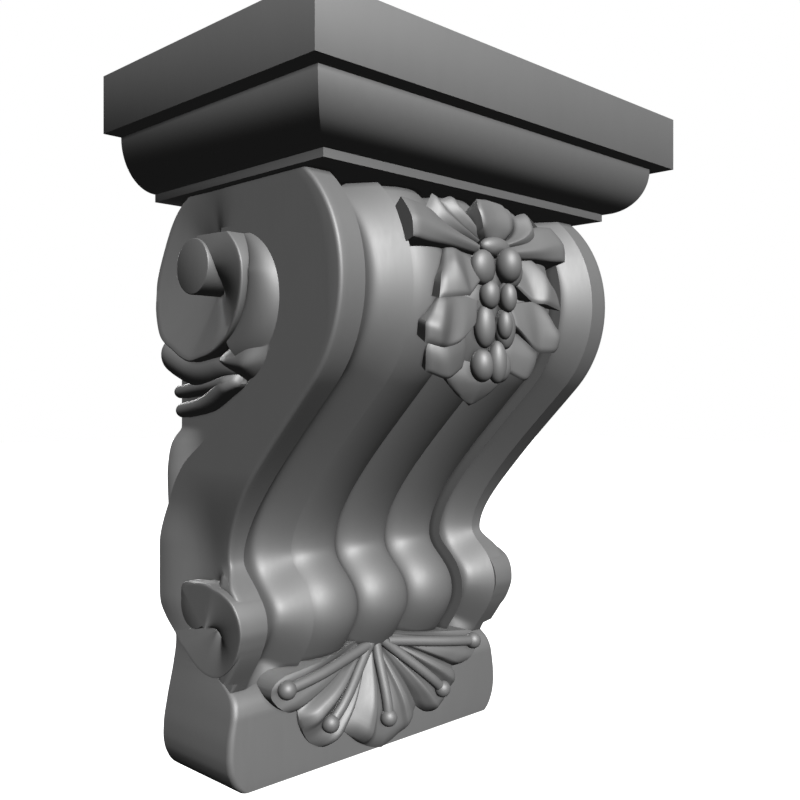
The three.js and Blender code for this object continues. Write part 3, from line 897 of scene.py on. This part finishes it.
# Across, drop, lift and radii of the lobes beside the berries
SEPALS = (
    (9, 82.8, 2.6, (6.6, 4.4, 7.4)),
    (5.6, 93.4, 2.6, (4.6, 4.2, 6.2)),
    (6.6, 106, 2.6, (5, 4.4, 9)),
    (5.6, 119.4, 6.6, (5.2, 5, 7)),
)
CENTRE_LEAF = [
    [(-4.4, 73, 4), (-9.4, 68.5, 9.4), (-10.4, 64, 11.2), (-7.6, 59.4, 11)],
    [(0, 73.5, 5), (0, 66, 10), (0, 58.8, 11)],
    [(4.4, 73, 4), (9.4, 68.5, 9.4), (10.4, 64, 11.2), (7.6, 59.4, 11)]]
END_LEAF = [
    [(-12, 121, -3), (-20, 124.4, 2), (-13.5, 129.4, 5.4), (-1, 133.6, 8)],
    [(0, 120, -1), (0, 126, 6.4), (0, 134, 8.6)],
    [(12, 121, -3), (20, 124.4, 2), (13.5, 129.4, 5.4), (1, 133.6, 8)]]
# Drop, lift, width and height of each berry on the centre line
BERRIES = ((83, 9, 5.6, 7.4), (94.4, 8, 3.7, 6.1), (104.2, 7.6, 3.4, 6.1), (117.2, 8.8, 4.4, 9))
HUB = {"drop": 74.5, "lift": 4, "radii": (9, 4, 4.5)}
# How far the leaves run down into the belly, and for each group of side leaves how crisp its folds are and
# how far its walls are undercut
LEAF_SINK = 12
CENTRE_LEAF_SINK = 8
LEAF_GROUPS = ((LAPPETS, 0.2, 0.25), (CROWN, 0.3, 0.1))


class BRACKET_OT_leaf_drop(bpy.types.Operator):
    """Carve the drop of leaves and berries on the belly"""

    bl_idname = "bracket.leaf_drop"
    bl_label = "Leaf drop"

    def execute(self, context):
        tools = [
            blade("end_leaf", on_front, END_LEAF, 0.6, LEAF_SINK),
            blade("centre_leaf", on_front, CENTRE_LEAF, 0.2, CENTRE_LEAF_SINK)]
        for side in (-1, 1):
            for group, crisp, undercut in LEAF_GROUPS:
                for name, lines in group.items():
                    lines = [mirrored(side, line) for line in lines]
                    tools.append(blade(name, on_front, lines, crisp, LEAF_SINK, undercut))
            for across, drop, lift, radii in SEPALS:
                tools.append(ball("sepal", on_front(side * across, drop, lift), radii))
        tools.append(ball("hub", on_front(0, HUB["drop"], HUB["lift"]), HUB["radii"]))
        for drop, lift, width, height in BERRIES:
            tools.append(ball("berry", on_front(0, drop, lift), (width, width, height)))
        carve(bpy.data.objects["carved_console"], tools, "UNION")
        return {"FINISHED"}


# Palmette on the foot: a fan about a hub, to a spread in degrees on each side, with a height at its root
# and a depth under the foot's face. Each petal, from the middle one out, has knots of (angle from straight
# down, radius of its outline, height of its crest).
FAN_HUB_DROP = 247
FAN_SPREAD = 83
FAN_ROOT = -6
FAN_SINK = 14
PETALS = (
    [(0, 53, 4), (8, 51.4, 4.2), (12, 50.4, 5.6), (15.5, 49.6, 8), (18.5, 48.8, 7.8), (25, 47, 5),
     (31.5, 45.7, 1.2)],
    [(31.5, 45.7, 1.2), (35, 52.5, 4.8), (39.5, 56.4, 7.4), (43, 58, 5.8), (48.6, 59, 4.6), (53, 58.8, 5.8),
     (57, 58.2, 8.2), (60.5, 57.3, 7.2), (63.9, 55.7, 1.8)],
    [(63.9, 55.7, 1.8), (66.5, 60, 4.4), (70, 63.8, 4.8), (74, 66.6, 4.2), (77.5, 68, 4), (80, 67.4, 4.4),
     (81.8, 64.5, 4.2), (FAN_SPREAD, 59, 3.6)],
)
# Root and tip of the stamens, as (across, drop), and their sizes
STAMENS = (((0, 250.5), (0, 285)), ((3.6, 250.5), (36.3, 279)), ((6, 251.6), (60, 259.5)))
STAMEN_RADIUS = 2.5
STAMEN_LIFT = 1.9
ANTHER_RADIUS = 4.1


def petal_values(away):
    """Outline radius and crest height of the palmette at an angle from straight down."""
    radius, crest = np.zeros_like(away), np.zeros_like(away)
    for knots in PETALS:
        knots = np.array(knots)
        here = (away >= knots[0, 0]) & (away <= knots[-1, 0])
        radius = np.where(here, flow(knots[:, (0, 1)], away), radius)
        crest = np.where(here, flow(knots[:, (0, 2)], away), crest)
    return radius, crest


def petal_lift(away, crest, s):
    """Height of the palmette at a share of its outline radius."""
    rise = FAN_ROOT + (crest - FAN_ROOT) * ease(-0.1, 0.75, s)
    fall = 0.65 * ease(72, 62, away) + 0.15
    return rise - np.maximum(crest, 0) * fall * np.maximum(0, (s - 0.86) / 0.14) ** 2


def fan_point(degrees, radius):
    """Across and drop at an angle and radius from the palmette's hub."""
    angle = np.radians(degrees)
    return radius * np.sin(angle), FAN_HUB_DROP + radius * np.cos(angle)


class BRACKET_OT_palmette(bpy.types.Operator):
    """Carve the palmette of petals and ball-ended stamens on the foot"""

    bl_idname = "bracket.palmette"
    bl_label = "Foot palmette"

    def execute(self, context):
        degrees = np.linspace(-FAN_SPREAD, FAN_SPREAD, 281)[:, None]
        away = np.abs(degrees)
        radius, crest = petal_values(away)
        s = np.r_[np.linspace(0.08, 0.86, 18), 0.9, 0.935, 0.965, 0.985, 1.0][None, :]
        x, drop = fan_point(degrees, radius * s)
        top = on_foot(x, drop, petal_lift(away, crest, s))
        under = on_foot(x, drop, np.full_like(x, -FAN_SINK))
        tools = [loft("petals", np.concatenate([top, under[:, ::-4]], axis=1))]
        for root, tip in STAMENS:
            x, drop = np.linspace(root, tip, 7).T
            away = np.degrees(np.arctan2(x, drop - FAN_HUB_DROP))
            outline, crest = petal_values(away)
            lift = petal_lift(away, crest, np.hypot(x, drop - FAN_HUB_DROP) / outline) + STAMEN_LIFT
            for side in ((-1, 1) if tip[0] else (1,)):
                line = np.column_stack([side * x, drop, lift])
                tools.append(rod("stamen", on_foot, line, STAMEN_RADIUS))
                tools.append(ball("anther", on_foot(*line[-1]), [ANTHER_RADIUS] * 3))
        carve(bpy.data.objects["carved_console"], tools, "UNION")
        return {"FINISHED"}


class BRACKET_OT_finish(bpy.types.Operator):
    """Trim the console flat at the wall, the cap and the foot, and paint it"""

    bl_idname = "bracket.finish"
    bl_label = "Trim and paint the console"

    def execute(self, context):
        piece = bpy.data.objects["carved_console"]
        # The blocks that trim it are larger than the console on every side
        wide, deep = 200, 300
        wall = block("wall", (-wide, 0, -deep), (wide, 80, deep))
        above = block("above", (-wide, -wide, TOP_Z - CONSOLE_DROP), (wide, wide, deep))
        below = block("below", (-wide, -wide, -deep), (wide, wide, TOP_Z - HEIGHT))
        carve(piece, [wall, above, below], "DIFFERENCE")
        paint = painted_wood("satin_painted_wood_console", context.scene.bracket_paint)
        finish(piece, paint, "console", CONSOLE_SMOOTH)
        return {"FINISHED"}


# Camera: level, on the bracket's left front, with its turn in degrees and its lens in millimetres
CAMERA_PLACE = (-314.6, -377.6, 13.0)
CAMERA_TURN = -45.05
CAMERA_LENS = 43.456
FLOOR_Z = -460
FLOOR_SIZE = 20
# The lights' turns, and how wide their discs are, in degrees
KEY_TURN = (54, 0, -20)
BACK_TURN = (-78, 0, -21)
SUN_WIDTH = 20


def sun(name, strength, turn):
    """Adds a distant light, turned by degrees about each axis."""
    bpy.ops.object.light_add(type="SUN")
    light = bpy.context.active_object
    light.name = name
    light.data.energy = strength
    light.data.angle = math.radians(SUN_WIDTH)
    light.rotation_euler = [math.radians(angle) for angle in turn]
    return light


class BRACKET_OT_stage(bpy.types.Operator):
    """Set up the floor, the light and the camera"""

    bl_idname = "bracket.stage"
    bl_label = "Stage"

    def execute(self, context):
        look = context.scene.bracket_stage
        clear_selection()
        bpy.ops.mesh.primitive_plane_add(size=FLOOR_SIZE, location=(0, 0, FLOOR_Z * MM))
        floor = named("floor")
        pale = bpy.data.materials.new("pale_floor")
        pale.use_nodes = True
        shader = pale.node_tree.nodes["Principled BSDF"]
        shader.inputs["Base Color"].default_value = look.floor
        shader.inputs["Roughness"].default_value = 0.9
        shader.inputs["Emission Color"].default_value = look.floor
        shader.inputs["Emission Strength"].default_value = 1.0
        floor.data.materials.append(pale)
        floor.visible_diffuse = False
        floor.visible_glossy = False

        # The key light throws no shadows, so the hollows stay open to it
        sun("key_light", look.key, KEY_TURN).data.use_shadow = False
        sun("back_light", look.back, BACK_TURN)

        world = bpy.data.worlds.new("studio")
        world.use_nodes = True
        tree = world.node_tree
        tree.nodes.clear()
        seen = node(tree, "ShaderNodeLightPath").outputs["Is Camera Ray"]
        dim = node(tree, "ShaderNodeBackground", {"Color": (1, 1, 1, 1), "Strength": look.fill})
        white = node(tree, "ShaderNodeBackground", {"Color": (1, 1, 1, 1), "Strength": 1.0})
        mix = node(tree, "ShaderNodeMixShader", None, {0: seen, 1: dim.outputs[0], 2: white.outputs[0]})
        node(tree, "ShaderNodeOutputWorld", None, {"Surface": mix.outputs[0]})
        context.scene.world = world
        context.scene.view_settings.view_transform = "Standard"

        bpy.ops.object.camera_add(
            location=[c * MM for c in CAMERA_PLACE],
            rotation=(math.radians(90), 0, math.radians(CAMERA_TURN)))
        camera = bpy.context.active_object
        camera.name = "camera"
        camera.data.lens = CAMERA_LENS
        camera.data.clip_start = 0.01
        context.scene.camera = camera
        return {"FINISHED"}


class BRACKET_PT_panel(bpy.types.Panel):
    """The bracket's pieces, in the order they are made"""

    bl_label = "Carved wall bracket"
    bl_idname = "BRACKET_PT_panel"
    bl_space_type = "VIEW_3D"
    bl_region_type = "UI"
    bl_category = "Bracket"

    def draw(self, context):
        for operator in OPERATORS:
            self.layout.operator(operator.bl_idname)


OPERATORS = (BRACKET_OT_cap, BRACKET_OT_body, BRACKET_OT_volutes, BRACKET_OT_sprigs, BRACKET_OT_leaf_drop,
             BRACKET_OT_palmette, BRACKET_OT_finish, BRACKET_OT_stage)
GROUPS = {"bracket_cap": CapSizes, "bracket_console": ConsoleSizes, "bracket_paint": PaintLook,
          "bracket_stage": StageLook}


def register():
    for group in GROUPS.values():
        bpy.utils.register_class(group)
    for name, group in GROUPS.items():
        setattr(bpy.types.Scene, name, bpy.props.PointerProperty(type=group))
    for operator in OPERATORS:
        bpy.utils.register_class(operator)
    bpy.utils.register_class(BRACKET_PT_panel)


def unregister():
    bpy.utils.unregister_class(BRACKET_PT_panel)
    for operator in reversed(OPERATORS):
        bpy.utils.unregister_class(operator)
    for name, group in GROUPS.items():
        delattr(bpy.types.Scene, name)
        bpy.utils.unregister_class(group)


def main():
    register()
    bpy.ops.bracket.cap()
    bpy.ops.bracket.body()
    bpy.ops.bracket.volutes()
    bpy.ops.bracket.sprigs()
    bpy.ops.bracket.leaf_drop()
    bpy.ops.bracket.palmette()
    bpy.ops.bracket.finish()
    bpy.ops.bracket.stage()


if __name__ == "__main__":
    main()
